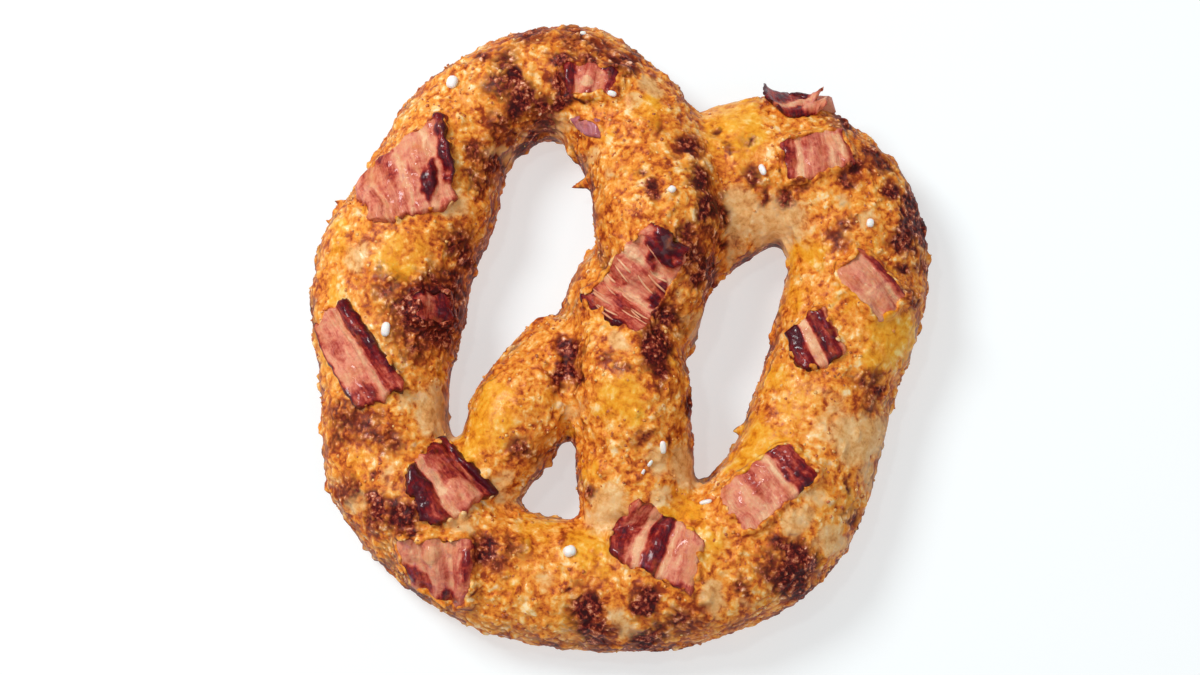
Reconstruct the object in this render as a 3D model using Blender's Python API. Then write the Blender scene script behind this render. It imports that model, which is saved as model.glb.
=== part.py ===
"""A soft pretzel, baked under cheese and slices of bacon, as solids at real size.

Metres, +Z up. The pretzel lies flat on z = 0, with its belly towards -Y and its two arches
towards +Y. The origin is under the middle of its outline.

The dough is one rope, laid in a U, twisted once in the middle and pressed onto its own belly.
It is lofted as one tube, fused where it crosses itself, and cut flat where it lay on the tray.
Each slice of bacon is draped over the finished dough.
"""

import math

import bmesh
import bpy
from mathutils import Vector, noise
from mathutils.bvhtree import BVHTree

MM = 0.001

# The rope's course, in millimetres, from the tip on the belly's left to the tip at its middle:
# x, y, half the rope's width, the height of its top, and how far its underside is lifted.
ROPE = [
    (-38.0, -38.5, 9.0, 21.0, 9.0),
    (-30.4, -29.4, 11.4, 24.5, 5.0),
    (-23.2, -15.4, 13.2, 25.5, 0.5),
    (-12.4, -5.4, 13.4, 22.0, 0.0),
    (4.0, -0.3, 12.8, 23.5, 0.0),
    (9.6, 12.5, 13.2, 32.0, 5.5),
    (9.0, 27.5, 16.4, 36.5, 12.0),
    (8.0, 40.0, 16.3, 34.0, 9.0),
    (3.6, 53.3, 16.0, 29.0, 2.5),
    (-6.6, 65.4, 15.6, 26.5, 0.0),
    (-19.0, 68.4, 14.8, 26.0, 0.0),
    (-32.0, 63.6, 14.4, 25.5, 0.0),
    (-42.8, 53.8, 15.8, 26.0, 0.0),
    (-50.4, 35.0, 18.0, 27.0, 0.0),
    (-58.8, 17.5, 20.2, 27.5, 0.0),
    (-60.4, 1.0, 19.0, 26.5, 0.0),
    (-60.4, -15.0, 16.4, 25.5, 0.0),
    (-58.6, -33.0, 17.0, 26.0, 0.0),
    (-47.8, -47.4, 16.6, 27.0, 0.0),
    (-34.0, -57.4, 16.0, 26.0, 0.0),
    (-17.0, -62.4, 16.2, 25.5, 0.0),
    (0.0, -63.4, 16.2, 26.0, 0.0),
    (16.0, -60.6, 17.5, 27.5, 0.0),
    (29.5, -54.6, 18.8, 28.0, 0.0),
    (40.6, -44.3, 19.4, 27.5, 0.0),
    (47.8, -29.5, 18.2, 26.5, 0.0),
    (52.6, -14.0, 17.4, 26.0, 0.0),
    (57.7, 3.0, 18.0, 26.5, 0.0),
    (61.4, 18.5, 18.2, 27.0, 0.0),
    (57.8, 33.6, 18.0, 27.0, 0.0),
    (46.0, 43.8, 18.4, 26.5, 0.0),
    (34.0, 44.2, 20.0, 25.0, 0.0),
    (23.0, 35.8, 18.0, 22.5, 0.0),
    (10.5, 22.5, 14.0, 20.0, 0.0),
    (-1.0, 9.0, 13.6, 25.5, 0.0),
    (2.0, -7.5, 14.8, 33.0, 7.5),
    (3.2, -21.5, 14.6, 31.5, 7.0),
    (3.2, -34.5, 15.2, 27.5, 5.0),
    (4.5, -47.0, 13.5, 25.0, 8.0),
]

RINGS_PER_SPAN = 5
RING_POINTS = 28
WAIST_SHARE = 0.42  # the rope is widest at this share of its height
FLAT_POWER = 0.45  # below the waist, the lower the power the flatter the underside
CROWN_POWER = 0.92  # above the waist, 1 is an ellipse
SUNK = 0.8 * MM  # how far the lofted rope reaches below the tray, before the cut

FUSE_VOXEL = 1.5 * MM
SOFTEN_STEPS = 4
DOUGH_TRIANGLES = 6200
LUMP_SIZE = 13.0 * MM
LUMP_HEIGHT = 1.3 * MM

BACON_THICK = 1.7 * MM
BACON_GAP = 0.7 * MM
BACON_STEP = 2.5 * MM
BACON_STIFF_STEPS = 3

# Each slice of bacon, in millimetres and degrees: where its middle lies, its length along its
# stripes and its width along its cut, the turn of its stripes and of its cut from +X, and how far
# its cut ends and its long edges curl up.
BACON = {
    "bacon_left_arch": (-55.6, 41.4, 16.0, 28.0, 108, 24, 0.5, 1.2),
    "bacon_left_side": (-66.4, -8.2, 27.0, 17.0, 127, 44, 0.5, 1.0),
    "bacon_left_inside": (-48.9, 5.5, 10.0, 11.0, 95, 10, 0.3, 0.3),
    "bacon_left_tip": (-43.2, -37.6, 17.5, 20.0, 130, 34, 0.8, 1.2),
    "bacon_belly_left": (-43.2, -60.4, 16.0, 22.0, 122, 24, 0.3, 0.3),
    "bacon_belly_middle": (11.0, -55.4, 18.0, 28.0, 74, -30, 0.8, 0.5),
    "bacon_belly_right": (38.4, -40.0, 16.5, 26.0, 132, 40, 0.4, 0.5),
    "bacon_right_side": (48.3, -3.0, 16.0, 15.0, 113, 20, 0.5, 0.5),
    "bacon_right_shoulder": (62.2, 11.6, 19.0, 14.0, 130, 30, 0.3, 0.3),
    "bacon_right_arch": (48.2, 44.2, 12.0, 18.0, 104, 12, 0.4, 0.4),
    "bacon_right_crown": (44.4, 59.4, 8.5, 17.0, 95, 3, 0.3, 4.0),
    "bacon_twist": (1.2, 10.2, 18.0, 27.0, 142, 49, 0.4, 0.8),
    "bacon_left_crown": (-6.0, 64.2, 11.0, 18.0, 80, -10, 0.3, 0.3),
    "bacon_left_inner": (-8.5, 52.4, 5.0, 8.5, 65, -25, 0.2, 0.2),
}


def clear_scene():
    for old in list(bpy.data.objects):
        bpy.data.objects.remove(old, do_unlink=True)


def finish(name, colour, roughness):
    """A Principled material of one colour, given as sRGB shares."""
    material = bpy.data.materials.new(name)
    material.use_nodes = True
    shader = material.node_tree.nodes["Principled BSDF"]
    linear = [share**2.2 for share in colour]
    shader.inputs["Base Color"].default_value = (*linear, 1.0)
    shader.inputs["Roughness"].default_value = roughness
    shader.inputs["Metallic"].default_value = 0.0
    return material


def link(name, mesh, material):
    piece = bpy.data.objects.new(name, mesh)
    piece.data.materials.append(material)
    bpy.context.collection.objects.link(piece)
    return piece


def smooth_course(stations, per_span):
    """Catmull-Rom points through the stations, each a tuple of numbers."""
    padded = [stations[0], *stations, stations[-1]]
    course = []
    for before, start, end, after in zip(padded, padded[1:], padded[2:], padded[3:]):
        for step in range(per_span):
            t = step / per_span
            course.append(
                [
                    b
                    + (c - a) * (t / 2)
                    + (2 * a - 5 * b + 4 * c - d) * (t**2 / 2)
                    + (3 * b - a - 3 * c + d) * (t**3 / 2)
                    for a, b, c, d in zip(before, start, end, after)
                ]
            )
    course.append(list(stations[-1]))
    return course


def rope_ring(middle, sideways, half_width, top, lift):
    """One cross-section: a flat underside, a waist below the middle and a round crown."""
    ring = []
    base = lift - SUNK
    waist = base + (top - base) * WAIST_SHARE
    for index in range(RING_POINTS):
        turn = 2 * math.pi * index / RING_POINTS
        across = math.cos(turn) * half_width
        rise = math.sin(turn)
        if rise >= 0:
            height = waist + (top - waist) * rise**CROWN_POWER
        else:
            height = waist - (waist - base) * (-rise) ** FLAT_POWER
        point = middle + sideways * across
        ring.append(Vector((point.x, point.y, height)))
    return ring


def lofted_rope():
    course = smooth_course(ROPE, RINGS_PER_SPAN)
    middles = [Vector((x * MM, y * MM, 0)) for x, y, _, _, _ in course]
    mesh = bmesh.new()
    rings = []
    for index, (_, _, half_width, top, lift) in enumerate(course):
        ahead = middles[min(index + 1, len(middles) - 1)]
        behind = middles[max(index - 1, 0)]
        along = (ahead - behind).normalized()
        sideways = Vector((along.y, -along.x, 0))
        points = rope_ring(middles[index], sideways, half_width * MM, top * MM, lift * MM)
        rings.append([mesh.verts.new(point) for point in points])
    for ring, following in zip(rings, rings[1:]):
        for index in range(RING_POINTS):
            other = (index + 1) % RING_POINTS
            mesh.faces.new((ring[index], ring[other], following[other], following[index]))
    mesh.faces.new(list(reversed(rings[0])))
    mesh.faces.new(rings[-1])
    bmesh.ops.recalc_face_normals(mesh, faces=mesh.faces)
    lofted = bpy.data.meshes.new("pretzel")
    mesh.to_mesh(lofted)
    mesh.free()
    return lofted


def evaluated_mesh(piece):
    """A new mesh of the object as its modifiers leave it."""
    bpy.context.view_layer.update()
    graph = bpy.context.evaluated_depsgraph_get()
    return bpy.data.meshes.new_from_object(piece.evaluated_get(graph))


def fuse(piece):
    """Joins the rope where it crosses itself, and rounds the creases there."""
    remesh = piece.modifiers.new("fuse", "REMESH")
    remesh.mode = "VOXEL"
    remesh.voxel_size = FUSE_VOXEL
    soften = piece.modifiers.new("soften", "SMOOTH")
    soften.factor = 0.5
    soften.iterations = SOFTEN_STEPS
    piece.data = evaluated_mesh(piece)
    piece.modifiers.clear()


def raise_lumps(piece):
    """Uneven proving and baking: slow swells over the crown, none on the underside."""
    normals = [vertex.normal.copy() for vertex in piece.data.vertices]
    for vertex, normal in zip(piece.data.vertices, normals):
        swell = noise.noise(vertex.co / LUMP_SIZE)
        share = max(0.0, min(1.0, normal.z + 0.6))
        vertex.co += normal * (swell * LUMP_HEIGHT * share)


def thin_out(piece):
    """Fewer, larger triangles."""
    triangles = sum(len(face.vertices) - 2 for face in piece.data.polygons)
    decimate = piece.modifiers.new("thin_out", "DECIMATE")
    decimate.ratio = DOUGH_TRIANGLES / triangles
    decimate.use_collapse_triangulate = True
    piece.data = evaluated_mesh(piece)
    piece.modifiers.clear()


def cut_flat(piece):
    """The flat underside, where the dough lay on the tray."""
    mesh = bmesh.new()
    mesh.from_mesh(piece.data)
    cut = bmesh.ops.bisect_plane(
        mesh,
        geom=mesh.verts[:] + mesh.edges[:] + mesh.faces[:],
        dist=1e-6,
        plane_co=(0, 0, 0),
        plane_no=(0, 0, 1),
        clear_inner=True,
    )
    rim = [item for item in cut["geom_cut"] if isinstance(item, bmesh.types.BMEdge)]
    for vertex in {vertex for edge in rim for vertex in edge.verts}:
        vertex.co.z = 0.0
    bmesh.ops.triangle_fill(mesh, edges=rim, use_beauty=True)
    bmesh.ops.recalc_face_normals(mesh, faces=mesh.faces)
    bmesh.ops.triangulate(mesh, faces=mesh.faces)
    mesh.to_mesh(piece.data)
    mesh.free()


def dough():
    piece = link("pretzel", lofted_rope(), finish("baked_dough", (0.82, 0.52, 0.20), 0.45))
    fuse(piece)
    raise_lumps(piece)
    thin_out(piece)
    cut_flat(piece)
    piece.data.shade_smooth()
    return piece


def step_over(surface, point, heading, step):
    """One step over the dough from a point on it, keeping the heading: the new point and normal."""
    _, normal, _, _ = surface.find_nearest(point)
    flat = (heading - normal * heading.dot(normal)).normalized()
    hit, normal, _, _ = surface.find_nearest(point + flat * step)
    return hit, normal


def walk(surface, start, heading, step, count):
    """Points on the dough at even steps from the start, as far as count steps to each side."""
    sides = []
    for sign in (-1, 1):
        point = start
        side = []
        for _ in range(count):
            point, _ = step_over(surface, point, heading * sign, step)
            side.append(point)
        sides.append(side)
    return [*reversed(sides[0]), start, *sides[1]]


def lift_clear(surface, grid, gap):
    """Moves each point out until it clears the dough by the gap."""
    for line in grid:
        for index, point in enumerate(line):
            hit, normal, _, _ = surface.find_nearest(point)
            clearance = (point - hit).dot(normal)
            if clearance < gap:
                line[index] = point + normal * (gap - clearance)


def even_out(grid):
    """Each inner point moves halfway to the mean of its neighbours, as a crisp slice bridges dips."""
    source = [line[:] for line in grid]
    for row in range(1, len(grid) - 1):
        for column in range(1, len(grid[0]) - 1):
            around = source[row - 1][column] + source[row + 1][column]
            around += source[row][column - 1] + source[row][column + 1]
            grid[row][column] = source[row][column] * 0.5 + around * 0.125


def compass(turn):
    angle = math.radians(turn)
    return Vector((math.cos(angle), math.sin(angle), 0))


def draped_grid(surface, name):
    """The underside of a slice: rows run along its stripes, columns across them."""
    x, y, length, width, turn, cut_turn, _, _ = BACON[name]
    half_rows = max(2, round(length * MM / BACON_STEP / 2))
    half_columns = max(2, round(width * MM / BACON_STEP / 2))
    row_step = length * MM / half_rows / 2
    column_step = width * MM / half_columns / 2
    top, _, _, _ = surface.ray_cast(Vector((x * MM, y * MM, 0.1)), Vector((0, 0, -1)))
    spine = walk(surface, top, compass(turn), row_step, half_rows)
    grid = [walk(surface, spot, compass(cut_turn), column_step, half_columns) for spot in spine]
    for _ in range(BACON_STIFF_STEPS):
        lift_clear(surface, grid, BACON_GAP)
        even_out(grid)
    lift_clear(surface, grid, BACON_GAP)
    return grid


def curl(surface, grid, end_curl, edge_curl):
    """Lifts the cut ends and the long edges off the dough."""
    for row, line in enumerate(grid):
        u = row / (len(grid) - 1) * 2 - 1
        for column, point in enumerate(line):
            v = column / (len(line) - 1) * 2 - 1
            _, normal, _, _ = surface.find_nearest(point)
            line[column] = point + normal * ((end_curl * u**4 + edge_curl * v**4) * MM)


def bacon_slice(name, surface, material):
    end_curl, edge_curl = BACON[name][6:]
    grid = draped_grid(surface, name)
    curl(surface, grid, end_curl, edge_curl)
    mesh = bmesh.new()
    rows = [[mesh.verts.new(point) for point in line] for line in grid]
    for row, following in zip(rows, rows[1:]):
        for column in range(len(row) - 1):
            mesh.faces.new((row[column], row[column + 1], following[column + 1], following[column]))
    sheet = bpy.data.meshes.new(name)
    mesh.to_mesh(sheet)
    mesh.free()
    piece = link(name, sheet, material)
    thick = piece.modifiers.new("thickness", "SOLIDIFY")
    thick.thickness = BACON_THICK
    thick.offset = 1.0
    thick.use_even_offset = False
    piece.data.shade_smooth()


def centre_on_origin():
    """Moves everything sideways, so that the middle of the whole outline is over the origin."""
    graph = bpy.context.evaluated_depsgraph_get()
    points = []
    for piece in bpy.data.objects:
        points.extend(vertex.co.copy() for vertex in piece.evaluated_get(graph).data.vertices)
    for axis in (0, 1):
        lowest = min(point[axis] for point in points)
        highest = max(point[axis] for point in points)
        for piece in bpy.data.objects:
            for vertex in piece.data.vertices:
                vertex.co[axis] -= (lowest + highest) / 2


def main():
    clear_scene()
    pretzel = dough()
    bpy.context.view_layer.update()
    surface = BVHTree.FromObject(pretzel, bpy.context.evaluated_depsgraph_get())
    meat = finish("crisp_bacon", (0.55, 0.20, 0.16), 0.3)
    for name in BACON:
        bacon_slice(name, surface, meat)
    bpy.context.view_layer.update()
    centre_on_origin()


main()
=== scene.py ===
"""The looks of a soft pretzel baked under grated cheese and slices of bacon.

Metres, +Z up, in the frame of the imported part: the pretzel lies flat on z = 0, its belly is
towards -Y and its arches towards +Y. Places on it are in millimetres from the middle of its box.

The crust is one skin over the dough, with thousands of lumps of melted cheese laid into it. The
slices of bacon are draped over the dough, and grated shreds, crumbs and coarse grains lie on top.
"""

import math

import bmesh
import bpy
import numpy as np
from mathutils import Matrix, Vector, noise
from mathutils.bvhtree import BVHTree


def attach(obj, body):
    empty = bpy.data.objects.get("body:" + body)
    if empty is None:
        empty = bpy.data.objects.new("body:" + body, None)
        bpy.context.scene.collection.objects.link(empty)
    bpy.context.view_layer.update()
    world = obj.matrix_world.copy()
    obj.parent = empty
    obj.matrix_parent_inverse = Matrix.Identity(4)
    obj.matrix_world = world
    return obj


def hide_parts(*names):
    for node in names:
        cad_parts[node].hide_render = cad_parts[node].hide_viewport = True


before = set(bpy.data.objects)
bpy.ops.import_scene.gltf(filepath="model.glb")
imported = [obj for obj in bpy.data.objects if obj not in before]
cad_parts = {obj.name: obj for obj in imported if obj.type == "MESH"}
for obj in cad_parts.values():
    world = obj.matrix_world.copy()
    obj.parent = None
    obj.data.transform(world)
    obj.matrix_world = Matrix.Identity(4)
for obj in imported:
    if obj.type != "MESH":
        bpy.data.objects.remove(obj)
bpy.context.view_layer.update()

# The same bumps every time.
noise.seed_set(5)

MM = 0.001

# Browned spots, in millimetres and tenths: x, y, radius, how dark.
BROWNED = {
    "left side": [
        (-48, 4, 8, 9), (-57, 8, 5, 5), (-51, -5, 5, 6), (-41, 21, 4, 7), (-40, 17, 3, 7),
        (-42, 11, 2, 8), (-69, -23, 4, 6), (-64, -27, 4, 6), (-59, -29, 4, 6), (-71, -29, 3, 5),
        (-69, -42, 3, 6), (-61, -39, 1, 7),
    ],
    "belly": [
        (-61, -46, 3, 9), (-55, -49, 4, 9), (-52, -53, 2, 8), (-62, -51, 2, 7), (-33, -57, 4, 8),
        (-35, -54, 2, 7), (-29, -61, 3, 6), (-25, -56, 3, 5), (-8, -72, 4, 10), (-5, -77, 3, 8),
        (6, -69, 3, 10), (6, -79, 3, 9), (10, -77, 3, 6), (17, -75, 4, 6), (-13, -67, 1, 7),
    ],
    "ends": [
        (-13, -7, 3, 9), (-14, -13, 3, 10), (-25, -32, 3, 6), (-8, -43, 2, 6), (0, -12, 2, 5),
        (-4, -10, 2, 5), (18, -21, 2, 9), (5, -31, 2, 6), (13, -31, 1, 7), (-12, -27, 1, 10),
    ],
    "twist": [
        (12, 1, 3, 8), (9, -7, 4, 10), (10, -13, 3, 8), (18, 45, 3, 8), (20, 36, 3, 8),
        (23, 29, 3, 9), (17, 21, 3, 7), (24, 22, 2, 7), (18, 16, 4, 7), (22, 13, 3, 9),
        (8, 33, 2, 8), (5, 37, 1, 6), (10, 50, 2, 5),
    ],
    "left arch": [
        (-27, 65, 2, 10), (-25, 57, 3, 9), (-27, 60, 3, 7), (-31, 62, 3, 6), (-16, 69, 2, 9),
        (-16, 63, 2, 9), (-15, 59, 2, 9), (-30, 69, 3, 6), (-36, 71, 2, 7), (-23, 78, 4, 7),
        (-12, 76, 4, 6), (-5, 74, 3, 6), (0, 69, 4, 7), (4, 72, 3, 6), (-13, 68, 2, 7),
        (-8, 69, 2, 7), (-19, 56, 3, 7), (-30, 52, 3, 6), (-33, 50, 2, 6), (-37, 45, 3, 6),
        (-33, 42, 3, 7), (-36, 36, 3, 6), (-40, 40, 2, 5), (-22, 52, 1, 10),
    ],
    "right side": [
        (42, -63, 4, 9), (44, -57, 3, 9), (41, -67, 3, 8), (45, -67, 3, 8), (37, -60, 3, 6),
        (40, -54, 2, 8), (31, -66, 2, 6), (48, -60, 3, 8), (58, -48, 2, 7), (58, -42, 1, 5),
        (66, -16, 2, 8), (61, -16, 2, 6), (64, -12, 2, 6), (63, -20, 3, 5), (57, -40, 1, 6),
    ],
    "right arch": [
        (76, 34, 3, 9), (77, 27, 4, 10), (72, 23, 3, 9), (72, 29, 2, 8), (70, 21, 2, 9),
        (72, 15, 2, 9), (66, 42, 3, 7), (64, 46, 2, 7), (60, 42, 2, 9), (58, 38, 2, 8),
        (58, 53, 3, 7), (56, 57, 2, 8), (69, 35, 2, 8), (33, 48, 2, 6), (24, 51, 1, 9),
        (28, 46, 1, 6), (33, 38, 2, 6), (37, 34, 2, 7), (43, 33, 2, 6), (47, 36, 2, 5),
        (58, 25, 2, 6), (54, 21, 3, 6), (74, 7, 2, 6), (78, 16, 2, 7),
    ],
}

# Bare or barely baked dough, in the same form: x, y, radius, how bare.
PALE = {
    "left": [
        (-46, -24, 4, 10), (-48, -19, 4, 6), (-54, -19, 3, 6), (-31, 46, 3, 8), (-42, 30, 3, 7),
        (-67, 17, 3, 7), (-56, -40, 3, 4), (-67, -45, 3, 7), (-16, 53, 3, 7), (-8, 44, 2, 6),
        (-4, 37, 2, 6), (-31, 39, 2, 4), (-74, -50, 4, 8), (-64, -60, 4, 7),
    ],
    "middle": [
        (31, 29, 5, 9), (40, 26, 6, 10), (29, 22, 4, 6), (42, 29, 3, 8), (8, 62, 3, 10),
        (4, 57, 2, 7), (18, -36, 4, 10), (10, -35, 3, 7), (11, -44, 2, 8), (-2, -48, 5, 9),
        (-11, -22, 2, 6), (-1, -6, 2, 8), (20, 0, 3, 9), (15, 6, 2, 5), (-30, -42, 4, 6),
        (-20, -36, 3, 5),
    ],
    "right": [
        (60, -29, 6, 10), (64, -38, 3, 8), (23, -70, 3, 9), (45, -50, 3, 9), (54, -55, 3, 8),
        (49, -45, 3, 6), (63, 25, 2, 6), (56, 32, 2, 7), (66, -26, 3, 9), (31, -70, 2, 5),
        (0, -75, 3, 6), (4, -77, 2, 8), (-20, -65, 3, 5), (-40, -50, 3, 7), (54, -20, 4, 5),
        (50, -26, 3, 4),
    ],
}

# Smooth, yellow pools of melted cheese, in the same form: x, y, radius, how smooth.
MELTED = {
    "left": [
        (-56, 18, 5, 7), (-71, 22, 4, 6), (-64, -35, 3, 5), (-38, -29, 5, 9), (-31, -20, 5, 8),
        (-36, -24, 3, 9), (-71, 9, 3, 5),
    ],
    "middle": [
        (0, -21, 5, 7), (5, -16, 3, 5), (-8, -56, 5, 9), (-5, -63, 3, 8), (15, -48, 4, 9),
        (20, -57, 4, 7), (-8, -37, 3, 6), (28, 57, 6, 9), (32, 50, 5, 8), (8, 56, 4, 6),
        (26, 51, 4, 8),
    ],
    "right": [
        (35, -29, 6, 9), (31, -35, 4, 9), (46, 18, 4, 7), (43, 9, 4, 7), (69, -3, 5, 9),
        (66, -7, 4, 8), (44, -18, 5, 6), (39, -14, 3, 6), (50, -60, 2, 4), (60, 6, 3, 4),
        (-19, -52, 5, 6),
    ],
}

# Drips of set cheese that stand out from the sides, in mm: x, y, height, the way each points in
# degrees, half its length and its width.
DRIPS = [
    (-10.6, 38.4, 14, 200, 2.6, 2.6),
    (-71.4, 33.6, 14, 165, 3.0, 3.0),
    (-73.2, 28.2, 13, 160, 3.4, 3.6),
    (30.6, -25.4, 13, 190, 2.4, 3.0),
    (-11.5, -26.5, 14, 240, 1.6, 3.4),
    (-47.5, 13.0, 13, 350, 2.2, 3.0),
    (-32.0, 55.0, 12, 300, 1.8, 2.6),
]

# Where the threads of fat lie: the middle, how far they reach, and the turn of most of them.
THREADS_MIDDLE = (2.0, 7.5)
THREADS_REACH = (8.5, 8.0)
THREADS_TURN = -42

# Coarse white grains: x, y, length, width, turn in degrees.
GRAINS = [
    (-43.0, 63.2, 3.5, 2.9, 70), (-9.6, 76.8, 1.6, 1.2, 0), (-2.1, 58.9, 2.4, 1.5, -15),
    (12.8, 31.8, 2.1, 1.9, 60), (36.4, 39.8, 3.1, 1.7, 115), (63.2, 25.5, 2.3, 1.9, 80),
    (-59.1, -1.8, 3.8, 2.3, 80), (-12.7, -57.7, 3.3, 2.9, 20), (10.5, -31.8, 3.5, 1.6, 95),
    (21.4, -45.3, 3.4, 1.5, 150), (7.3, -35.8, 2.0, 0.9, 60), (5.5, -38.0, 1.8, 0.8, 70),
]

class Slice:
    """One slice of bacon.

    The corners are where its first edge starts, its last edge starts, its last edge ends and its
    first edge ends, and the stripes run from start to end. Each band is a share of the width, a
    tone (0 fat, 0.45 pink, 0.8 red, 1 dark) and how far it swells. Each lobe is a place, half a
    length, half a width, a turn in degrees, a tone and a height.
    """

    # The lilac share sets how much painted purple-blue reflection is mixed into the slice's colour.
    def __init__(self, corners, bands, lobes=(), curls=(0.4, 0.4), sunk=0.2, painted_lilac_sheen=0.1):
        self.corners = np.array(corners, float)
        self.bands = bands
        self.lobes = lobes
        self.end_curl, self.edge_curl = curls
        self.sunk = sunk
        self.painted_lilac_sheen = painted_lilac_sheen


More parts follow.
